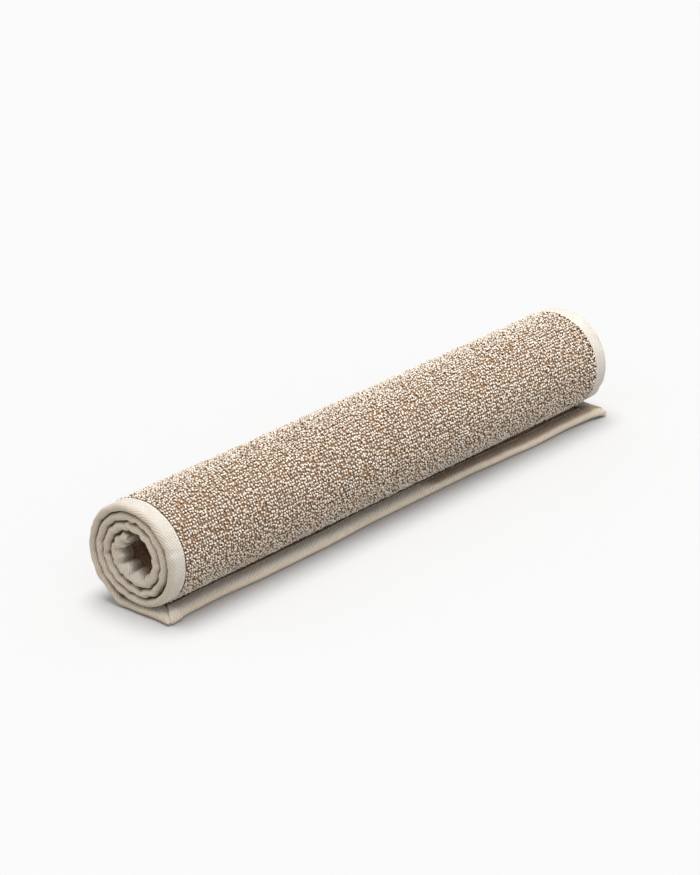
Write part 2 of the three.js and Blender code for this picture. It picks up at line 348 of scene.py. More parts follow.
def new_finish(name, roughness, sheen, tint):
    """A plain cotton material, its node tree and its shader."""
    finish = bpy.data.materials.new(name)
    finish.use_nodes = True
    tree = finish.node_tree
    shader = tree.nodes["Principled BSDF"]
    shader.inputs["Roughness"].default_value = roughness
    shader.inputs["Specular IOR Level"].default_value = 0.2
    shader.inputs["Sheen Weight"].default_value = sheen
    shader.inputs["Sheen Roughness"].default_value = 0.6
    shader.inputs["Sheen Tint"].default_value = tint
    print("finish:", name)
    return finish, tree, shader


def raise_surface(tree, shader, height, distance, strength=1.0):
    """Gives the shader a bump of this height."""
    bump = node(tree, "ShaderNodeBump", dict(Height=height, Distance=distance, Strength=strength))
    tree.links.new(bump.outputs[0], shader.inputs["Normal"])


# %% [markdown]
# ### Binding tape
# The tape is off-white twilled cotton. Its ribs run steeply across it, in one direction on each
# side of the fold, and stop at a smooth selvedge. The ribs are far too fine to be modelled one by
# one, so they are raised with a bump: a wave that depends on the distance along the tape and,
# more steeply, on the distance from its fold. Where two turns touch, the cotton lies in a narrow
# crease that light enters only after many bounces. So shade is painted there, as a brown tint, and
# also deep in the core. The fold gets painted shade too, a little darker and warmer than the legs,
# and so do the grooves between the ribs. Noise at four scales adds fine threads, thicker places in
# the yarn, painted rib shade that is stronger in some places than in others, and blotches.

# %% The tape's colours and its ribs
RIB_PITCH = 4.3 * MM
RIB_SLOPE = 1.7
SELVEDGE_FROM = 17 * MM
OFF_WHITE = (0.60, 0.573, 0.527, 1)
# Painted shade in the grooves between the ribs; also the colour of dark specks in the threads
RIB_SHADE = (0.40, 0.33, 0.25, 1)
# Painted shade on the tape's fold, darker and warmer than the legs; also the colour of random blotches
BLOTCH_AND_FOLD_SHADE = (0.53, 0.445, 0.35, 1)
# Painted shade, in brown, for the creases between touching turns and for deep in the core
CREASE_AND_CORE_SHADE = (0.22, 0.145, 0.09, 1)

# Scales of the noise, in patches to the metre
DRIFT_GRAIN = 90
THREAD_GRAIN = 1500
SLUB_GRAIN = 260
FAINT_GRAIN = 120
BLOTCH_GRAIN = 70


def twill(tree, from_fold, lengthwise):
    """The height of the ribs, 0 to 1, and how much of a groove each place is."""
    drift = ranged(tree, noise(tree, DRIFT_GRAIN), 0.3, 0.7, -0.7 * MM, 0.7 * MM)
    slanted = maths(tree, "MULTIPLY_ADD", from_fold, -RIB_SLOPE, lengthwise)
    turns = maths(tree, "MULTIPLY", maths(tree, "ADD", slanted, drift), 2 * math.pi / RIB_PITCH)
    rib = ranged(tree, maths(tree, "SINE", turns), -1, 1, 0, 1)
    on_twill = ranged(tree, from_fold, SELVEDGE_FROM - 1 * MM, SELVEDGE_FROM, 1, 0.15)
    return rib, maths(tree, "MULTIPLY", maths(tree, "SUBTRACT", 1, rib), on_twill)


# %% Where the tape gets painted shade: in the creases between turns and deep in the core
TUCKED_AT = 365
TUCKED_S = float(np.interp(TUCKED_AT, walk_angle, walk_s))
CORE_SIDE_S = float(np.interp(END_ANGLE - 360, walk_angle, walk_s))
FLAP_REACH = (44 * MM, 60 * MM)
CREASE_DEPTHS = (3.6 * MM, 6.6 * MM)
CORE_DEPTHS = (6 * MM, 14 * MM)
CREASE_SHARE = 0.85


def painted_crease_and_core_shade(tree, across, from_fold, lengthwise):
    """Two masks of painted shade: how deep in a crease between two turns a place is, and how deep in the
    core.
    """
    outer_tucked = ranged(tree, lengthwise, TUCKED_S - 6 * MM, TUCKED_S + 4 * MM, 0, 1)
    inner_tucked = ranged(tree, lengthwise, *FLAP_REACH, 0, 1)
    in_core = ranged(tree, lengthwise, CORE_SIDE_S, CORE_SIDE_S + 20 * MM, 1, 0)
    inner_tucked = maths(tree, "MULTIPLY", inner_tucked, in_core)
    on_outer = maths(tree, "LESS_THAN", across, 0)
    tucked = maths(tree, "MULTIPLY", on_outer, outer_tucked)
    on_inner = maths(tree, "SUBTRACT", 1, on_outer)
    tucked = maths(tree, "MULTIPLY_ADD", on_inner, inner_tucked, tucked)
    near_neighbour = ranged(tree, from_fold, *CREASE_DEPTHS, 0, CREASE_SHARE)
    facing_core = maths(tree, "SUBTRACT", 1, maths(tree, "MAXIMUM", in_core, on_outer))
    deep = ranged(tree, from_fold, *CORE_DEPTHS, 0, CREASE_SHARE)
    between_turns = maths(tree, "MULTIPLY", tucked, near_neighbour)
    return between_turns, maths(tree, "MULTIPLY", facing_core, deep)


# %% Put the tape's finish together
def tape_finish():
    finish, tree, shader = new_finish("twilled tape", roughness=0.9, sheen=0.15, tint=(1, 0.96, 0.9, 1))
    across, lengthwise = measures(tree, "cloth")
    from_fold = maths(tree, "ABSOLUTE", across)
    rib, groove = twill(tree, from_fold, lengthwise)
    threads = noise(tree, THREAD_GRAIN, 1)
    slub = noise(tree, SLUB_GRAIN, 3)
    height = maths(tree, "MULTIPLY_ADD", threads, 0.5, maths(tree, "MULTIPLY_ADD", slub, 0.5, rib))
    raise_surface(tree, shader, height, distance=0.38 * MM, strength=0.9)
    # Painted shade: the fold is tinted darker and warmer than the legs
    folded = ranged(tree, from_fold, 2.5 * MM, 7 * MM, 0.8, 0)
    colour = mixed(tree, folded, OFF_WHITE, BLOTCH_AND_FOLD_SHADE)
    faint = ranged(tree, noise(tree, FAINT_GRAIN, 2), 0.35, 0.65, 0.12, 0.48)
    # Painted shade in the grooves between the ribs, stronger in some places than in others
    colour = mixed(tree, maths(tree, "MULTIPLY", groove, faint), colour, RIB_SHADE)
    blotch = ranged(tree, noise(tree, BLOTCH_GRAIN, 3), 0.35, 0.65, 0.0, 0.25)
    colour = mixed(tree, blotch, colour, BLOTCH_AND_FOLD_SHADE)
    speck = ranged(tree, threads, 0.35, 0.55, 0.3, 0)
    colour = mixed(tree, speck, colour, RIB_SHADE)
    # Painted shade: brown in the creases between turns and deep in the core
    for depth in painted_crease_and_core_shade(tree, across, from_fold, lengthwise):
        colour = mixed(tree, depth, colour, CREASE_AND_CORE_SHADE)
    tree.links.new(colour, shader.inputs["Base Color"])
    return finish


TAPE = tape_finish()

# %% [markdown]
# ### Yarn of the loops
# The pile is spun from cream, beige and tan strands twisted together, and no two loops show the
# same of them. Every loop carries a random number, its tone, which picks its main colour, and a
# second UV map that runs along and round its yarn. The strands are slanted stripes on that map,
# with a thin line of painted shade, in brown, where two strands meet.

# %% The loops' finish
CREAM = (0.86, 0.81, 0.725, 1)
BEIGE = (0.64, 0.495, 0.36, 1)
TAN = (0.48, 0.31, 0.185, 1)
BROWN = (0.19, 0.11, 0.062, 1)
PLIES = 3
TWISTS_PER_LOOP = 2.0


def yarn_finish():
    finish, tree, shader = new_finish("looped yarn", roughness=0.95, sheen=0.2, tint=(1, 0.95, 0.88, 1))
    tone = node(tree, "ShaderNodeAttribute", attribute_name="tone").outputs["Fac"]
    ramp = node(tree, "ShaderNodeValToRGB", {0: tone})
    elements = ramp.color_ramp.elements
    elements[0].color, elements[1].color = BROWN, CREAM
    for position, colour in ((0.3, TAN), (0.55, BEIGE), (0.72, CREAM)):
        elements.new(position).color = colour
    along_yarn, round_yarn = measures(tree, "yarn")
    twist = maths(tree, "MULTIPLY_ADD", along_yarn, TWISTS_PER_LOOP, round_yarn)
    strand = maths(tree, "FRACT", maths(tree, "MULTIPLY", twist, PLIES))
    round_strand = maths(tree, "PINGPONG", strand, 0.5)
    which = maths(tree, "FRACT", twist)
    tan_strand = ranged(tree, which, 0.7, 0.76, 0, 0.45)
    colour = mixed(tree, tan_strand, ramp.outputs[0], TAN)
    # Painted shade: brown where two strands meet
    between = ranged(tree, round_strand, 0, 0.16, 0.35, 0)
    colour = mixed(tree, between, colour, BROWN)
    tree.links.new(colour, shader.inputs["Base Color"])
    fibres = noise(tree, scale=2600)
    height = maths(tree, "MULTIPLY_ADD", fibres, 0.25, ranged(tree, round_strand, 0, 0.4, 0, 1))
    raise_surface(tree, shader, height, distance=0.2 * MM, strength=0.7)
    return finish


YARN = yarn_finish()

# %% [markdown]
# ## The ground cloth
# Under the loops lies a thick woven ground. It is one slab that follows the winding, a little
# lower than the tape on both faces, so that the loops can stand in it and the tape can cover its
# edges. Simulated cloth would never settle into tight turns, so the slab is placed directly. Its
# finish is a plain weave: the product of two waves, one for each direction of the threads.

# %% The ground cloth's finish
GROUND_THREAD_PITCH = 1.7 * MM


def ground_finish():
    finish, tree, shader = new_finish("ground weave", roughness=1.0, sheen=0.1, tint=(1, 0.93, 0.85, 1))
    per_metre = 2 * math.pi / GROUND_THREAD_PITCH
    warp, weft = [
        maths(tree, "SINE", maths(tree, "MULTIPLY", measure, per_metre))
        for measure in measures(tree, "cloth")
    ]
    knots = ranged(tree, maths(tree, "MULTIPLY", warp, weft), -1, 1, 0, 1)
    fleck = noise(tree, scale=700)
    ramp = node(tree, "ShaderNodeValToRGB", {0: ranged(tree, fleck, 0.35, 0.65, 0, 1)})
    ramp.color_ramp.elements[0].color = BROWN
    ramp.color_ramp.elements[1].color = TAN
    shaded = mixed(tree, ranged(tree, knots, 0, 0.6, 0.6, 0), ramp.outputs[0], BROWN)
    tree.links.new(shaded, shader.inputs["Base Color"])
    height = maths(tree, "MULTIPLY_ADD", fleck, 0.6, knots)
    raise_surface(tree, shader, height, distance=0.5 * MM)
    return finish


GROUND = ground_finish()

# %% Build the ground cloth
GROUND_DROP = 1.5 * MM
BACK_DROP = 0.9 * MM
UNDER_TAPE_DROP = 2.9 * MM
GROUND_STEP = 3.2 * MM
GROUND_INSET = 3.6 * MM
BOUND_WIDTH = TAPE_COVER + 0.3 * MM
MIDDLE_REACH = 260 * MM
MIDDLE_COLUMNS = 14


def ground_cloth():
    stops = np.linspace(GROUND_INSET, MAT_LENGTH - GROUND_INSET, int(MAT_LENGTH / GROUND_STEP))
    from_rim = np.array([GROUND_INSET, BOUND_WIDTH + 0.8 * MM, BOUND_WIDTH + 1.6 * MM])
    side = HALF_WIDTH - from_rim
    middle = np.linspace(-MIDDLE_REACH, MIDDLE_REACH, MIDDLE_COLUMNS)
    columns = np.concatenate([-side, middle, side[::-1]])
    s, x = stops[:, None], columns[None, :]
    half = thickness_at(angle_at(s)) / 2
    from_end = np.minimum(s, MAT_LENGTH - s)
    bare = smooth(from_end, BOUND_WIDTH, BOUND_WIDTH + 1 * MM) * (np.abs(x) < side[1] - MM / 10)
    outer = half - UNDER_TAPE_DROP + (UNDER_TAPE_DROP - GROUND_DROP) * bare
    inner = half - UNDER_TAPE_DROP + (UNDER_TAPE_DROP - BACK_DROP) * bare
    rings = np.concatenate([place(s, x, outer), place(s, x, -inner)[:, ::-1]], axis=1)
    across = np.concatenate([columns, columns[::-1], columns[:1]])
    piece = lofted("pile_ground", rings, across, stops, GROUND, flip=True)
    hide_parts("pile_cloth")
    return piece


ground = ground_cloth()

# %% [markdown]
# ## The loops
# The pile is what one sees first: about twenty thousand separate loops of soft yarn, in rows
# across the mat. Particles or hair would give strands with loose ends, and a bump alone would
# leave the outline of the roll smooth. So every loop is a real little arch of yarn, and all of
# them are worked out at once as one large array: one centre line, moved, turned and bent at
# random for each loop, with a ring of points round it at each step. Where the cloth lies flat on
# the floor or is rolled in, no loop would be seen, so none is made.

# %% Where the loops stand
LOOP_PITCH = 2.9 * MM
PILE_RADIUS_SHARE = 0.915
SLIP_ACROSS = 0.3 * MM
SLIP_ALONG = 0.38 * MM
PILE_STOPS_AT = 372
pile_start_s = float(np.interp(lift_off_angle + 1, walk_angle, walk_s))
pile_stop_s = float(np.interp(PILE_STOPS_AT, walk_angle, walk_s))
loop_reach = HALF_WIDTH - TAPE_COVER + 0.1 * MM

row_stops = np.arange(pile_start_s, pile_stop_s, LOOP_PITCH * PILE_RADIUS_SHARE)
column_count = int(2 * loop_reach / LOOP_PITCH)
column_stops = (np.arange(column_count) - (column_count - 1) / 2) * LOOP_PITCH
grids = np.meshgrid(np.arange(column_count), np.arange(len(row_stops)))
column, row = [grid.ravel() for grid in grids]
loop_count = len(column)
loop_x = column_stops[column] + draw.normal(0, SLIP_ACROSS, loop_count)
loop_s = row_stops[row] + draw.normal(0, SLIP_ALONG, loop_count)
print(f"{loop_count} loops in {len(row_stops)} rows of {column_count}")

# %% [markdown]
# ### No two loops alike
# Most loops are cream. Darker ones come mainly in every second column, because the yarns were fed
# in side by side. Cream loops are fuller and stand higher, so they catch the light. One random
# number for each loop and measure is enough: drawn all at once, from a fixed seed, they give the
# same pile every time. Hand-placed loops would take weeks and look no more natural.

# %% Give every loop its tone and measures
LOOP_HEIGHT = 2.7 * MM
LOOP_SPAN = 0.95 * MM
YARN_RADIUS = 0.77 * MM
LOOP_TURN = math.radians(65)
TURN_SPREAD = math.radians(38)
pale_share = np.where(column % 2 == 0, 0.95, 0.8)
pale = draw.random(loop_count) < pale_share
pale_tone = draw.uniform(0.62, 1.0, loop_count)
loop_tone = np.where(pale, pale_tone, draw.uniform(0.3, 0.62, loop_count))
loop_height = LOOP_HEIGHT * np.where(pale, 1.05, 0.78) * draw.normal(1, 0.12, loop_count)
loop_turn = draw.normal(LOOP_TURN, TURN_SPREAD, loop_count)
loop_span = LOOP_SPAN * draw.normal(1, 0.14, loop_count)
lean_x = draw.normal(0, 0.32 * MM, loop_count)
lean_s = draw.normal(0, 0.4 * MM, loop_count)
yarn_radius = YARN_RADIUS * np.where(pale, 1.05, 0.9) * draw.normal(1, 0.08, loop_count)
strand_start = draw.random(loop_count)
print(f"{pale.mean():.0%} of the loops are cream")

# %% [markdown]
# ### The shape of a loop
# Seen from the side, each loop is an arch: it rises from one hole of the ground, bends over and
# goes down beside it. A curve object with a bevel would do for one, but not for twenty thousand.
# Here the arch is a formula of t, which runs from 0 at one foot to 1 at the other.

# %% The centre line of every loop
FOOT_DEPTH = 0.5 * MM


def loop_centres(t):
    """Centre of every loop's yarn at t from 0 to 1: offsets in x, s and height."""
    arch = np.sin(np.pi * t)
    swing = -np.cos(np.pi * t) / 2 * (1 + 0.35 * arch) * loop_span
    drift = (t - 0.5) * 0.5 * MM
    x = swing * np.cos(loop_turn) - drift * np.sin(loop_turn) + lean_x * arch
    s = swing * np.sin(loop_turn) + drift * np.cos(loop_turn) + lean_s * arch
    height = arch**0.75 * (loop_height + FOOT_DEPTH - yarn_radius) - FOOT_DEPTH
    return np.stack([x, s, height], axis=-1)


print(f"the loops stand up to {loop_centres(0.5)[:, 2].max() / MM:.1f} mm above the ground")

# %% Wrap rings of points round the centre lines
LOOP_RINGS = np.array([0.07, 0.36, 0.64, 0.93])
LOOP_SIDES = 5


def loop_points():
    """Points of all loops, in the mat's own measures: a foot, four rings and a foot each."""
    rings = []
    for t in LOOP_RINGS:
        centre = loop_centres(t)
        ahead = loop_centres(t + 0.01) - loop_centres(t - 0.01)
        ahead /= np.linalg.norm(ahead, axis=1, keepdims=True)
        level = np.cross(ahead, [0.0, 0.0, 1.0])
        sideways = np.stack([-np.sin(loop_turn), np.cos(loop_turn), np.zeros(loop_count)], axis=-1)
        level += sideways * 0.05
        level /= np.linalg.norm(level, axis=1, keepdims=True)
        up = np.cross(level, ahead)
        fullness = yarn_radius * (0.82 + 0.25 * math.sin(math.pi * t))
        for side in range(LOOP_SIDES):
            turn = 2 * math.pi * side / LOOP_SIDES
            offset = math.cos(turn) * level + math.sin(turn) * up
            rings.append(centre + offset * fullness[:, None])
    feet = [loop_centres(0.0), loop_centres(1.0)]
    return np.stack([feet[0], *rings, feet[1]], axis=1)


local = loop_points()
POINTS_PER_LOOP = local.shape[1]
print("each loop has", POINTS_PER_LOOP, "points")

# %% Set the loops on the roll, pressed down where it lies on the floor and on its own flap
ON_FLOOR = dict(height=0.35, until=22, free_from=42)
ON_FLAP = dict(height=0.6, free_until=335, after=350)
root_angle = angle_at(loop_s)
off_floor = smooth(root_angle, ON_FLOOR["until"], ON_FLOOR["free_from"])
on_flap = smooth(root_angle, ON_FLAP["free_until"], ON_FLAP["after"])
crushed = ON_FLOOR["height"] + (1 - ON_FLOOR["height"]) * off_floor
crushed *= 1 - (1 - ON_FLAP["height"]) * on_flap
height = local[..., 2] * np.where(local[..., 2] > 0, crushed[:, None], 1)
ground_level = thickness_at(root_angle) / 2 - GROUND_DROP
loop_xyz = place(
    loop_s[:, None] + local[..., 1] * PILE_RADIUS_SHARE,
    loop_x[:, None] + local[..., 0],
    ground_level[:, None] + height,
)
print("the pile reaches", loop_xyz[..., 2].max().round(4), "m above the floor")

# %% [markdown]
# ### From arrays to meshes
# The faces of one loop are worked out once and repeated for all. The loops go into five pieces,
# side by side, because a single mesh of eight hundred thousand triangles is slow to handle.
# The bake map gives each loop a small square of its own, so that its colours can be stored later.
# The tone falls towards the feet, which turn tan and brown: this is painted shade, low down
# between the loops.

# %% The faces of one loop
def loop_faces():
    """Triangles at the two feet and quads between, with each corner's place along and round."""
    rings, sides = len(LOOP_RINGS), LOOP_SIDES
    tips, tip_map, walls, wall_map = [], [], [], []
    top = POINTS_PER_LOOP - 1
    last = 1 + (rings - 1) * sides
    for j in range(sides):
        k = (j + 1) % sides
        tips += [(0, 1 + k, 1 + j), (top, last + j, last + k)]
        tip_map += [(0, j + 0.5), (1, j + 1), (1, j)]
        tip_map += [(rings + 1, j + 0.5), (rings, j), (rings, j + 1)]
        for i in range(rings - 1):
            a, b = 1 + i * sides, 1 + (i + 1) * sides
            walls.append((a + j, a + k, b + k, b + j))
            wall_map += [(i + 1, j), (i + 1, j + 1), (i + 2, j + 1), (i + 2, j)]
    return np.array(tips), np.array(tip_map), np.array(walls), np.array(wall_map)


tips, tip_map, walls, wall_map = loop_faces()
print("each loop has", len(tips) + 2 * len(walls), "triangles")

# %% Build the loops in five bands
BAKE_MARGIN = 0.04
BANDS = 5
# Painted shade: each loop darkens towards its feet, low down between the loops
ring_shade = np.clip(1.1 * np.sin(np.pi * LOOP_RINGS), 0.35, 1)
foot_shade_along = np.concatenate([[0.1], np.repeat(ring_shade, LOOP_SIDES), [0.1]])


def band_of_loops(name, chosen):
    """One mesh of the chosen loops, with their tones and both maps."""
    count = len(chosen)
    base = (np.arange(count) * POINTS_PER_LOOP)[:, None, None]
    faces = [(base + tips).reshape(-1, 3), (base + walls).reshape(-1, 4)]
    steps = np.array([len(LOOP_RINGS) + 1, LOOP_SIDES])
    cells = math.ceil(math.sqrt(count))
    corner = np.stack([np.arange(count) % cells, np.arange(count) // cells], axis=-1)[:, None, :]
    yarn_rows, bake_rows = [], []
    for corner_map in (tip_map, wall_map):
        share = (corner_map / steps)[None, :, :]
        along_yarn = share[..., 0] + strand_start[chosen][:, None]
        twist = np.broadcast_arrays(along_yarn, share[..., 1])
        yarn_rows.append(np.stack(twist, axis=-1).reshape(-1, 2))
        in_cell = BAKE_MARGIN + share * (1 - 2 * BAKE_MARGIN)
        bake_rows.append(((corner + in_cell) / cells).reshape(-1, 2))
    maps = {"OFBake": np.concatenate(bake_rows), "yarn": np.concatenate(yarn_rows)}
    piece = new_piece(name, loop_xyz[chosen].reshape(-1, 3), faces, YARN, maps)
    tone = piece.data.attributes.new("tone", "FLOAT", "POINT")
    # The tone holds each loop's own tone times the painted shade towards its feet
    tones = loop_tone[chosen][:, None] * foot_shade_along
    tone.data.foreach_set("value", tones.ravel().astype(np.float32))
    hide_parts("pile_cloth")
    return piece


bands = np.array_split(np.argsort(column, kind="stable"), BANDS)
loop_bands = [band_of_loops(f"pile_loops_{i + 1}", chosen) for i, chosen in enumerate(bands)]


# %% [markdown]
# ## The binding tape
# The tape is folded over the raw edge and sewn through. Its section is a narrow U: two legs, one
# on each face, joined by a rounded fold. Swept along the winding it makes the bright rim of the
# roll. A bevelled curve could sweep the same section, but couldn't let it change on the way. And it
# does change: where the roll is tight the inner leg has too much tape for its short way round, so
# it buckles into pleats that stand into the core.

# %% The tape's section
TAPE_THICKNESS = 1.0 * MM
RIM_DEPTH = 5.2 * MM
SEAM_DEPTH = 14.6 * MM
SEAM_GROOVE = 0.3 * MM
SEAM_WIDTH = 0.55 * MM
SELVEDGE_DIP = 0.45 * MM
SELVEDGE_WIDTH = 0.5 * MM
FOLD_ROUNDNESS = 1.9
LEG_DEPTHS = np.array([17, 16.8, 16.1, 15.2, 14.6, 13.7, 11.7, 10.6, 9.4, 8.0, 6.8, 5.6]) * MM
FOLD_TURNS = np.radians(np.linspace(90, -90, 13))


def tape_section():
    """Depth from the rim and share of the half thickness, from the outer leg to the inner one."""
    power = 2 / FOLD_ROUNDNESS
    fold_depth = RIM_DEPTH * (1 - np.abs(np.cos(FOLD_TURNS)) ** power)
    fold_share = np.sign(np.sin(FOLD_TURNS)) * np.abs(np.sin(FOLD_TURNS)) ** power
    ones = np.ones(len(LEG_DEPTHS))
    depth = np.concatenate([LEG_DEPTHS, fold_depth, LEG_DEPTHS[::-1]])
    share = np.concatenate([ones, fold_share, -ones])
    return depth, share


section_depth, section_share = tape_section()
seam_dip = SEAM_GROOVE * bell(section_depth - SEAM_DEPTH, SEAM_WIDTH)
edge_dip = SELVEDGE_DIP * smooth(section_depth, TAPE_COVER - SELVEDGE_WIDTH, TAPE_COVER)
on_leg = np.abs(section_share) > 0.999
section_dip = np.where(on_leg, seam_dip + edge_dip, 0)

CHANNEL_DEPTHS = np.array([17, 11, 7, 3.4, 3.4, 7, 11, 17]) * MM
CHANNEL_SIDE = np.array([-1, -1, -1, -1, 1, 1, 1, 1])

# Distance of each outside point from the fold, for the weave
steps = np.hypot(np.diff(section_depth), np.diff(section_share) * THICKNESSES[0] / 2)
from_fold = np.concatenate([[0], np.cumsum(steps)])
from_fold -= from_fold[len(from_fold) // 2]
print(f"the tape is {from_fold[-1] * 2 / MM:.0f} mm wide when it is laid flat")

# %% [markdown]
# ### Pleats and nips
# The pleats are a row of rounded ridges with sharp valleys between them. They grow just behind
# the fold of the tape, where the rim holds it smoother, and each has its own height. Here and there
# the rim is also nipped: a small dent on one face, which opens a dark pit between two turns. One
# nip has a negative depth, and puffs its face out instead. Sculpting could make them too, but as
# sums of sines and bells they can be changed by one number each.

# %% Pleats of the tape
PLEAT_PITCH = 15 * MM
FIRST_VALLEY = 8 * MM
NOTCH_DEPTH = 3.2 * MM
NOTCH_REACH = 9 * MM
PLEAT_RISE = dict(everywhere=0.8 * MM, innermost=4.2 * MM)
PLEAT_SLANT = dict(share=0.14, wave=41 * MM)
PLEATS_FADE_IN = 30
PLEATS_GROW_OVER = 90
core_side_start = END_ANGLE - 360
inner_turn_start = END_ANGLE - PLACE["end"]
pleat_heights = draw.uniform(0.72, 1.0, 200)


def pleat(s, depth):
    """Height of the pleats at s, on the face that looks into the core."""
    angle = angle_at(s)
    reach = smooth(angle, core_side_start, core_side_start + PLEATS_FADE_IN)
    inner = smooth(angle, inner_turn_start - PLEATS_GROW_OVER, inner_turn_start)
    sway = np.sin(2 * np.pi * s / PLEAT_SLANT["wave"])
    slant = PLEAT_SLANT["share"] * sway * depth / TAPE_COVER
    count = (MAT_LENGTH - s - FIRST_VALLEY) / PLEAT_PITCH + slant
    tall = pleat_heights[np.floor(count).astype(int) % len(pleat_heights)]
    ridge = np.abs(np.sin(np.pi * count)) ** 0.8
    started = 0.5 + 0.5 * smooth(depth, 1 * MM, 6 * MM)
    valley = (1 - ridge) ** 1.6 * bell(depth, NOTCH_REACH)
    rise = PLEAT_RISE["everywhere"] + PLEAT_RISE["innermost"] * inner
    return reach * (rise * tall * ridge * started - inner * NOTCH_DEPTH * valley)


print(f"pleats {PLEAT_PITCH / MM:.0f} mm apart from {core_side_start:.0f} degrees on")

# %% Nips in the rims: those that show at the open end, by their angle along the winding
NIPS = [
    dict(angle=1220, face=1, depth=1.8 * MM, spread=3.0 * MM),
    dict(angle=1196, face=1, depth=2.4 * MM, spread=2.4 * MM),
    dict(angle=1161, face=1, depth=2.4 * MM, spread=2.2 * MM),
    dict(angle=804, face=-1, depth=3.2 * MM, spread=2.3 * MM),
    dict(angle=702, face=-1, depth=2.6 * MM, spread=2.6 * MM),
    dict(angle=659, face=1, depth=1.7 * MM, spread=10 * MM),
    dict(angle=97, face=1, depth=1.0 * MM, spread=2.2 * MM),
    dict(angle=67, face=1, depth=1.7 * MM, spread=2.4 * MM),
    dict(angle=54, face=1, depth=-2.2 * MM, spread=7.0 * MM),
    dict(angle=38, face=1, depth=1.4 * MM, spread=3.0 * MM),
]
NIP_REACH = 7.5 * MM
SMALL_NIPS = 44


def all_nips():
    """The nips above and small ones at random, as rows of s, face, depth and spread."""
    shown = [
        (np.interp(nip["angle"], walk_angle, walk_s), nip["face"], nip["depth"], nip["spread"])
        for nip in NIPS
    ]
    small_s = draw.uniform(0.08, 0.98, SMALL_NIPS) * MAT_LENGTH
    small_face = draw.choice([-1, 1], SMALL_NIPS)
    small_depth = draw.uniform(0.5, 1.6, SMALL_NIPS) * MM
    small_spread = draw.uniform(1.6, 3.4, SMALL_NIPS) * MM
    small = np.stack([small_s, small_face, small_depth, small_spread], axis=-1)
    return np.concatenate([np.array(shown), small])


def nipped(s, depth, face, nips):
    """How far the face (+1 outer, -1 inner) is pressed in at s and at this depth from the rim."""
    pressed = 0
    for nip_s, nip_face, nip_depth, spread in nips:
        if nip_face == face:
            pressed = pressed + nip_depth * bell(s - nip_s, spread)
    return pressed * bell(depth, NIP_REACH)


print(len(NIPS) + SMALL_NIPS, "nips in each side tape")

# %% [markdown]
# ### Waves of the rims
# Small waves also run through the whole stack of turns at the rim. They come from one field that
# depends only on the place in the stack, so that neighbouring turns bend together and never cut
# into each other. A displace modifier would move each tape on its own, and the turns would clash.
# At the far corner of the free edge the side tape was folded double, which leaves a small raised
# ridge beside the rim.

# %% Waves of the rims, and the ridge at the far corner
CORNER_RIDGE = dict(height=1.1 * MM, inset=3.2 * MM, width=2.6 * MM, reach=44 * MM)
CORNER_GROOVE = dict(share=0.6, inset=8.0 * MM, width=1.3 * MM)
WAVE_DEPTH = 0.5 * MM
WAVES = [
    dict(share=1, count=15, twist=160, phase=0),
    dict(share=0.6, count=23, twist=-90, phase=1.3),
]
CALM_FROM = 33 * MM
CALMEST_FROM = 43 * MM
CALMEST_SHARE = 0.2


def corner_ridge(s, side, depth):
    """Height on the upper face of the right corner, where the tape was folded over twice."""
    if side < 0:
        return 0 * s
    ridge = bell(depth - CORNER_RIDGE["inset"], CORNER_RIDGE["width"])
    groove = bell(depth - CORNER_GROOVE["inset"], CORNER_GROOVE["width"])
    fading = 1 - smooth(s, 0.6 * CORNER_RIDGE["reach"], CORNER_RIDGE["reach"])
    return CORNER_RIDGE["height"] * (ridge - CORNER_GROOVE["share"] * groove) * fading


def rim_waves(points, share):
    """Moves points of the tape in and out, alike for all that lie near each other."""
    y, z = points[..., 1], points[..., 2] - AXIS_HEIGHT
    radius = np.hypot(y, z)
    around = np.arctan2(z, y)
    inside = 1 - (1 - CALMEST_SHARE) * smooth(radius, CALM_FROM, CALMEST_FROM)
    wave = sum(
        one["share"] * np.sin(one["count"] * around + one["twist"] * radius + one["phase"])
        for one in WAVES
    )
    move = WAVE_DEPTH * inside * wave * share
    y_out, z_out = y / radius, z / radius
    return points + np.stack([np.zeros_like(move), y_out * move, z_out * move], axis=-1)


print(f"the rims wave by up to {WAVE_DEPTH * sum(one['share'] for one in WAVES) / MM:.1f} mm")

# %% [markdown]
# ### The side tapes
# Each side tape is one closed body: an outside that is seen, and a channel inside that holds the
# edge of the cloth. It could be a flat strip with a solidify modifier, but that would cut through
# itself in the core, where the turns are tighter than the tape is wide. At both ends the section
# shrinks to a rounded nose, as a tape does where it is folded in and sewn down.

# %% Where the rings of a side tape stand
COARSE_STEP = 1.9 * MM
FINE_STEP = 1.05 * MM
CORNER_STOPS = np.array([0, 0.25, 0.7, 1.4, 2.3, 3.3, 4.4, 6.0, 7.6]) * MM
CORNER_LENGTH = 9.2 * MM
CLOSED_SHARE = 0.12


def tape_stops():
    """Closer together at the corners and on the pleats."""
    core = float(np.interp(core_side_start, walk_angle, walk_s))
    last = MAT_LENGTH - CORNER_LENGTH
    outer = np.linspace(CORNER_LENGTH, core, int(core / COARSE_STEP))
    inner = np.linspace(core, last, int((MAT_LENGTH - core) / FINE_STEP))[1:]
    return np.concatenate([CORNER_STOPS, outer, inner, MAT_LENGTH - CORNER_STOPS[::-1]])


def nose(depth):
    """Share of the full thickness at this distance from an end of the tape."""
    t = np.clip(1 - depth / RIM_DEPTH, 0, 1)
    rounded = np.maximum(1 - t**FOLD_ROUNDNESS, 0) ** (1 / FOLD_ROUNDNESS)
    return np.maximum(rounded, CLOSED_SHARE)


side_stops = tape_stops()
print(len(side_stops), "rings in each side tape")

# %% The outside and the channel of a side tape
PUFF = dict(share=0.03, wave=23 * MM)
RIM_PULL = dict(depth=0.35 * MM, wave=31 * MM)
WAVES_REACH = 4 * MM


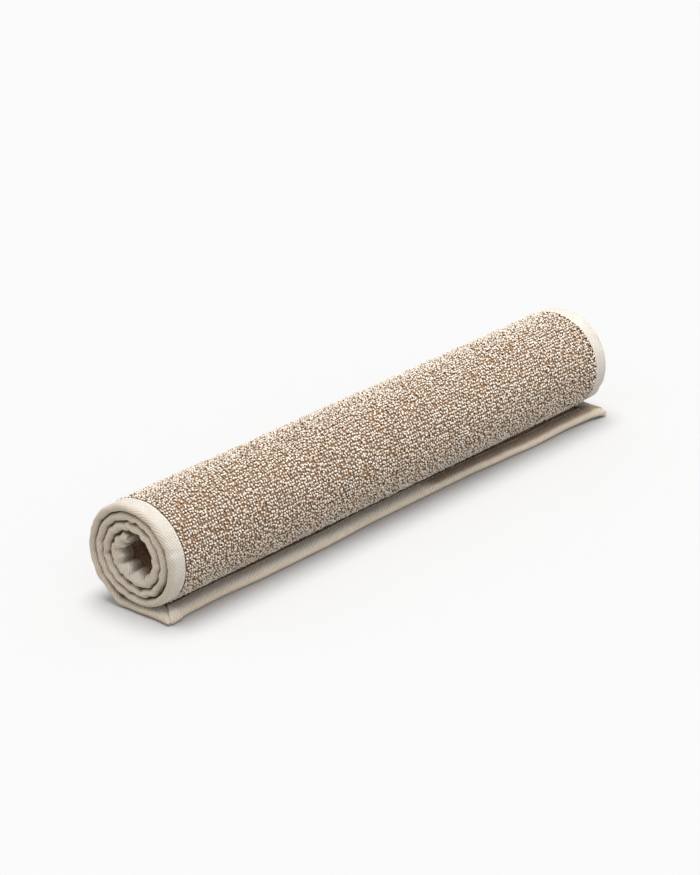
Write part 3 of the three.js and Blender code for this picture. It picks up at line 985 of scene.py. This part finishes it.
def side_outside(s, side, nips):
    """Rings of the face that one sees: leg, fold and leg."""
    from_end = np.minimum(s, MAT_LENGTH - s)
    closing = nose(from_end)
    puffed = 1 + PUFF["share"] * np.sin(2 * np.pi * s / PUFF["wave"] + side)
    n = (thickness_at(angle_at(s)) / 2 * puffed - section_dip) * section_share * closing
    upper = np.clip(-section_share, 0, 1)
    lower = np.clip(section_share, 0, 1)
    n = n - pleat(s, section_depth) * smooth(from_end, 0, 6 * MM) * upper
    n = n - corner_ridge(s, side, section_depth) * upper * closing
    n = n - nipped(s, section_depth, 1, nips) * lower + nipped(s, section_depth, -1, nips) * upper
    sway = np.sin(2 * np.pi * s / RIM_PULL["wave"] + 2 * side)
    pull = RIM_PULL["depth"] * sway * (1 - np.abs(section_share))
    points = place(s, side * (HALF_WIDTH - section_depth - pull), n)
    return rim_waves(points, smooth(-section_depth, -TAPE_COVER, -WAVES_REACH))


def side_channel(s, side, nips):
    """Rings of the hidden channel that holds the cloth. It is all but closed at both ends."""
    from_end = np.minimum(s, MAT_LENGTH - s)
    half = thickness_at(angle_at(s)) / 2
    closed = from_end < RIM_DEPTH
    at_mouth = np.abs(CHANNEL_DEPTHS - TAPE_COVER) < MM / 10
    depth = np.where(closed & ~at_mouth, TAPE_COVER - 0.5 * MM, CHANNEL_DEPTHS)
    wall = np.where(closed, half * nose(from_end) * 0.5, half - TAPE_THICKNESS)
    give = [nipped(s, depth, face, nips) * (CHANNEL_SIDE == face) for face in (1, -1)]
    give.append(np.maximum(-pleat(s, depth), 0) * (CHANNEL_SIDE < 0))
    wall = np.maximum(wall - sum(give), 0.3 * MM)
    return place(s, side * (HALF_WIDTH - depth), wall * CHANNEL_SIDE)


print(f"the rims puff by {PUFF['share']:.0%} of their thickness")

# %% Build the side tapes
CHANNEL_U = 20 * MM
section_u = np.concatenate([from_fold, np.full(len(CHANNEL_DEPTHS) + 1, CHANNEL_U)])


def side_tape(name, side, node_name):
    """The tape of the left (-1) or right (+1) side."""
    nips = all_nips()
    s = side_stops[:, None]
    rings = np.concatenate([side_outside(s, side, nips), side_channel(s, side, nips)], axis=1)
    piece = lofted(name, rings, section_u, side_stops, TAPE, flip=side < 0)
    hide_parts(node_name)
    return piece


tape_left = side_tape("binding_left", -1, "side_tape_left")
tape_right = side_tape("binding_right", 1, "side_tape_right")

# %% [markdown]
# ### The end tapes
# The two end tapes are made like the side tapes, but swept across the mat. On the free edge both
# ends of the tape are laid over the side tapes and turned under along a slant, as a mitre. A
# boolean cut would leave ragged faces there, so each line of the section just stops at the slant.

# %% The slant and the lap at the corners
END_STOP = HALF_WIDTH - TAPE_COVER - 0.3 * MM
OVERLAP_REACH = 14.6 * MM
LAP_THICKNESS = 1.7 * MM
MITRE_INSET = 1.2 * MM
MIDDLE_STOPS = 120
LAP_STOPS = 9


def mitred(stops, depth, inner):
    """Places across the mat, cut off along a slant at both corners of the free edge."""
    limit = np.full(len(depth), 1.0) if inner else HALF_WIDTH - MITRE_INSET - depth
    return np.clip(stops[:, None], -limit, limit)


def end_stops(reach, inner):
    """Closer together near the ends, and on the laps over the side tapes."""
    close = np.array([0, 0.3, 0.8, 1.6, 2.6]) * MM
    middle = np.linspace(-END_STOP + 3 * MM, END_STOP - 3 * MM, MIDDLE_STOPS)
    count = 0 if inner else LAP_STOPS
    laps = np.linspace(reach - 3.4 * MM, END_STOP - 2.2 * MM, count)
    return np.concatenate([-reach + close, -laps, middle, laps[::-1], reach - close[::-1]])


def lap_at(stops, inner):
    """How much higher the tape lies where it covers the side tapes."""
    if inner:
        return np.zeros((len(stops), 1))
    return LAP_THICKNESS * smooth(np.abs(stops), END_STOP - 1.6 * MM, END_STOP + 0.6 * MM)[:, None]


print(f"the laps cover {OVERLAP_REACH / MM:.1f} mm of the side tapes")

# %% Build the end tapes
RIPPLES = [dict(share=0.035, wave=37 * MM), dict(share=0.02, wave=17 * MM)]


def place_past_edge(s, x, n):
    """Like place, but it also takes points a little past the free edge, straight on from it."""
    points = place(np.maximum(s, 0), x, n)
    points[..., 1] += np.minimum(s, 0)
    return points


def end_outside(stops, reach, lap, inner):
    """Like side_outside, with the laps raised at the corners."""
    x = mitred(stops, section_depth, inner)
    turned_under = smooth(reach - np.abs(stops), 0, 1.2 * MM)[:, None]
    rim_share = np.clip(1 - section_depth / RIM_DEPTH, 0, 1)
    depth = section_depth - lap * rim_share * turned_under
    s = MAT_LENGTH - depth if inner else depth
    half = thickness_at(angle_at(np.clip(s, 0, MAT_LENGTH))) / 2
    ripple = 1 + sum(one["share"] * np.sin(2 * np.pi * x / one["wave"]) for one in RIPPLES)
    n = (half * ripple - section_dip) * section_share
    n = n - lap * np.clip(-section_share, 0, 1) * turned_under
    return place_past_edge(s, x, np.where(section_share > 0, np.minimum(n, half), n))


def end_channel(stops, lap, inner):
    """Like side_channel, raised where the side tapes lie in it."""
    depth = np.broadcast_to(CHANNEL_DEPTHS, (len(stops), len(CHANNEL_DEPTHS)))
    s = MAT_LENGTH - depth if inner else depth
    half = thickness_at(angle_at(s)) / 2 - TAPE_THICKNESS
    lifted = np.where(lap > 0, lap + TAPE_THICKNESS, 0) * (CHANNEL_SIDE < 0)
    return place(s, mitred(stops, CHANNEL_DEPTHS, inner), half * CHANNEL_SIDE - lifted)


def end_tape(name, node_name, inner):
    """The tape of the inner edge, or else of the free edge."""
    reach = END_STOP if inner else END_STOP + OVERLAP_REACH
    stops = end_stops(reach, inner)
    lap = lap_at(stops, inner)
    outside = end_outside(stops, reach, lap, inner)
    rings = np.concatenate([outside, end_channel(stops, lap, inner)], axis=1)
    piece = lofted(name, rings, section_u, stops, TAPE, flip=not inner)
    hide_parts(node_name)
    return piece


tape_outer = end_tape("binding_free_edge", "end_tape_outer", inner=False)
tape_inner = end_tape("binding_inner_edge", "end_tape_inner", inner=True)

# %% [markdown]
# ## The sewing
# A lockstitch runs along every tape near its selvedge, and pulls the tape down into a shallow
# groove. Each stitch is a short thread that rises from one hole and dives into the next. They are
# all alike, so an array modifier on a curve could lay them. Here one small tube is set down again
# and again along the seam by the same function that places the tape, so it always lies on it.

# %% The thread's finish
THREAD_SHADE = (0.72, 0.66, 0.58, 1)
THREAD_LIGHT = (0.86, 0.82, 0.76, 1)


def thread_finish():
    finish, tree, shader = new_finish("sewing thread", roughness=0.7, sheen=0.2, tint=(1, 0.98, 0.94, 1))
    fibres = noise(tree, scale=3000)
    colour = mixed(tree, fibres, THREAD_SHADE, THREAD_LIGHT)
    tree.links.new(colour, shader.inputs["Base Color"])
    raise_surface(tree, shader, fibres, distance=0.1 * MM, strength=0.6)
    return finish


THREAD = thread_finish()

# %% Make a row of stitches
STITCH_PITCH = 3.1 * MM
STITCH_LENGTH = 2.5 * MM
STITCH_RISE = 0.3 * MM
STITCH_SINK = 0.16 * MM
THREAD_RADIUS = 0.27 * MM
THREAD_SIDES = 4
PINCHED_SHARE = 0.45
STITCH_STEPS = np.array([0.0, 0.2, 0.5, 0.8, 1.0])


def stitch_faces(turned_over):
    """Quads of one stitch and its two ends."""
    quads, _ = tube_faces(len(STITCH_STEPS), THREAD_SIDES)
    first = np.arange(THREAD_SIDES)
    ends = np.array([first, len(STITCH_STEPS) * THREAD_SIDES - 1 - first])
    faces = np.concatenate([quads, ends])
    return faces[:, ::-1] if turned_over else faces


def stitches(name, s, x, run_s, run_x, face):
    """Threads centred at s and x, running along s or x, on the outer (+1) or inner (-1) face."""
    lie = (STITCH_STEPS - 0.5) * STITCH_LENGTH
    rise = np.sin(np.pi * STITCH_STEPS) ** 0.6 * STITCH_RISE - STITCH_SINK
    half = thickness_at(angle_at(s)) / 2 - SEAM_GROOVE
    rings = []
    for i, t in enumerate(STITCH_STEPS):
        thin = THREAD_RADIUS * (PINCHED_SHARE if t in (0, 1) else 1)
        for turn in 2 * np.pi * np.arange(THREAD_SIDES) / THREAD_SIDES:
            beside = math.cos(turn) * thin
            above = math.sin(turn) * thin
            at_s = s + run_s * lie[i] + run_x * beside
            at_x = x + run_x * lie[i] + run_s * beside
            rings.append(place(at_s, at_x, face * (half + rise[i] + above)))
    points = np.stack(rings, axis=1)
    base = np.arange(len(s)) * points.shape[1]
    faces = base[:, None, None] + stitch_faces(face * (run_s - run_x) > 0)
    return new_piece(name, points.reshape(-1, 3), [faces.reshape(-1, 4)], THREAD)


print(f"a stitch every {STITCH_PITCH / MM:.1f} mm")

# %% Sew all four edges
side_s = np.arange(SEAM_DEPTH, MAT_LENGTH - SEAM_DEPTH, STITCH_PITCH)
for side, word in ((-1, "left"), (1, "right")):
    side_x = np.full(len(side_s), side * (HALF_WIDTH - SEAM_DEPTH))
    for face, face_word in ((1, "pile_side"), (-1, "back")):
        stitches(f"seam_{word}_{face_word}", side_s, side_x, run_s=1, run_x=0, face=face)
end_x = np.arange(-END_STOP + 2 * MM, END_STOP - 1 * MM, STITCH_PITCH)
for end_s, word in ((SEAM_DEPTH, "free_edge"), (MAT_LENGTH - SEAM_DEPTH, "inner_edge")):
    stitches(f"seam_{word}", np.full(len(end_x), end_s), end_x, run_s=0, run_x=1, face=-1)

# %% [markdown]
# ## What is cloth
# The mat is one sheet of cloth with its loops, tapes and seams on it.

# %% [markdown]
# ## The floor
# The mat was shown on a seamless white sheet. It could be a curved backdrop, but seen from above
# a wide plane does the same. Its paper has a faint grain, so that it isn't a flat colour.

# %% Floor
FLOOR_SIDE = 14.0
FLOOR_WHITE = (0.80, 0.80, 0.80, 1)
FLOOR_GRAIN = (0.82, 0.82, 0.82, 1)


def make_floor():
    bpy.ops.mesh.primitive_plane_add(size=FLOOR_SIDE)
    floor = bpy.context.object
    floor.name = "white_floor"
    paper = bpy.data.materials.new("white paper")
    paper.use_nodes = True
    tree = paper.node_tree
    shader = tree.nodes["Principled BSDF"]
    shader.inputs["Roughness"].default_value = 0.9
    shader.inputs["Specular IOR Level"].default_value = 0.1
    grain = mixed(tree, noise(tree, scale=900), FLOOR_WHITE, FLOOR_GRAIN)
    tree.links.new(grain, shader.inputs["Base Color"])
    floor.data.materials.append(paper)
    return floor


floor = make_floor()
print(f"floor {FLOOR_SIDE:.0f} m wide")

# %% [markdown]
# ## The light
# Four soft lamps light the scene, besides a pale sky. In a studio, screens and reflectors would be
# set up to get the sheet and the cloth right at once. In Blender, light linking does that: each
# lamp is told which things it shines on. One sun makes the sheet white, from nearly straight above,
# so that the shadow is short and soft. Another sun from above, a broad one from the front and a
# round lamp over the far end light only the mat.

# %% Lamps
SHEET_SUN_FROM = Vector((0.07, 0.14, 0.99))
TOP_SUN_FROM = Vector((-0.05, -0.04, 0.99))
FRONT_FROM = Vector((-0.25, -0.55, 0.80))
FAR_LAMP_AT = Vector((0.60, -0.20, 1.25))
FAR_LAMP_SIZE = 0.8
FRONT_COLOUR = (1.0, 0.975, 0.94)
SKY_COLOUR = (1, 1, 1, 1)
SKY_STRENGTH = 0.43


def lamp_toward(name, kind, power, back, lit):
    """A lamp that shines against the direction back, on the things in lit alone."""
    data = bpy.data.lights.new(name, kind)
    data.energy = power
    lamp = bpy.data.objects.new(name, data)
    lamp.rotation_euler = back.to_track_quat("Z", "Y").to_euler()
    bpy.context.scene.collection.objects.link(lamp)
    chosen = bpy.data.collections.new(f"{name} shines on")
    for thing in lit:
        chosen.objects.link(thing)
    lamp.light_linking.receiver_collection = chosen
    return lamp


sheet_sun = lamp_toward("sheet_sun", "SUN", power=2.42, back=SHEET_SUN_FROM, lit=[floor])
sheet_sun.data.angle = math.radians(38)

top_sun = lamp_toward("top_sun", "SUN", power=2.65, back=TOP_SUN_FROM, lit=pieces)
top_sun.data.angle = math.radians(60)

front = lamp_toward("front_light", "SUN", power=1.05, back=FRONT_FROM, lit=pieces)
front.data.angle = math.radians(110)
front.data.color = FRONT_COLOUR

far_lamp = lamp_toward("far_lamp", "AREA", power=7.5, back=FAR_LAMP_AT, lit=pieces)
far_lamp.data.shape = "DISK"
far_lamp.data.size = FAR_LAMP_SIZE
far_lamp.location = FAR_LAMP_AT

sky = bpy.data.worlds.new("pale sky")
sky.use_nodes = True
background = sky.node_tree.nodes["Background"]
background.inputs["Color"].default_value = SKY_COLOUR
background.inputs["Strength"].default_value = SKY_STRENGTH
bpy.context.scene.world = sky
bpy.context.scene.view_settings.view_transform = "Standard"

# %% [markdown]
# ## The camera
# The roll was photographed from far away through a long lens, which keeps its two ends nearly
# alike in size. The camera could be set by eye. Here its turn, its rise and its distance are
# numbers that were fitted until the outlines of the roll fell on those of the photo.

# %% Camera
CAMERA_TURN = math.radians(-49.483)
CAMERA_RISE = math.radians(23.168)
CAMERA_DISTANCE = 2.9852
CAMERA_TARGET = np.array([-0.01796, 0, 0.0666])
LENS = 138.9


def make_camera():
    back = np.array(
        [
            math.sin(CAMERA_TURN) * math.cos(CAMERA_RISE),
            -math.cos(CAMERA_TURN) * math.cos(CAMERA_RISE),
            math.sin(CAMERA_RISE),
        ]
    )
    data = bpy.data.cameras.new("camera")
    data.lens = LENS
    data.clip_end = 50
    camera = bpy.data.objects.new("camera", data)
    camera.location = CAMERA_TARGET + back * CAMERA_DISTANCE
    camera.rotation_euler = Vector(back).to_track_quat("Z", "Y").to_euler()
    bpy.context.scene.collection.objects.link(camera)
    bpy.context.scene.camera = camera
    return camera


camera = make_camera()
print("camera at", [round(v, 3) for v in camera.location])

# %% [markdown]
# ## Count the triangles
# The triangles of all the pieces are counted and printed. The dressed mat may stand a few
# millimetres proud of its plain solids, and no more.

# %% Count the triangles and finish
bpy.context.view_layer.update()
total = sum(len(face.vertices) - 2 for piece in pieces for face in piece.data.polygons)
print(f"{len(pieces)} pieces, {total} triangles")
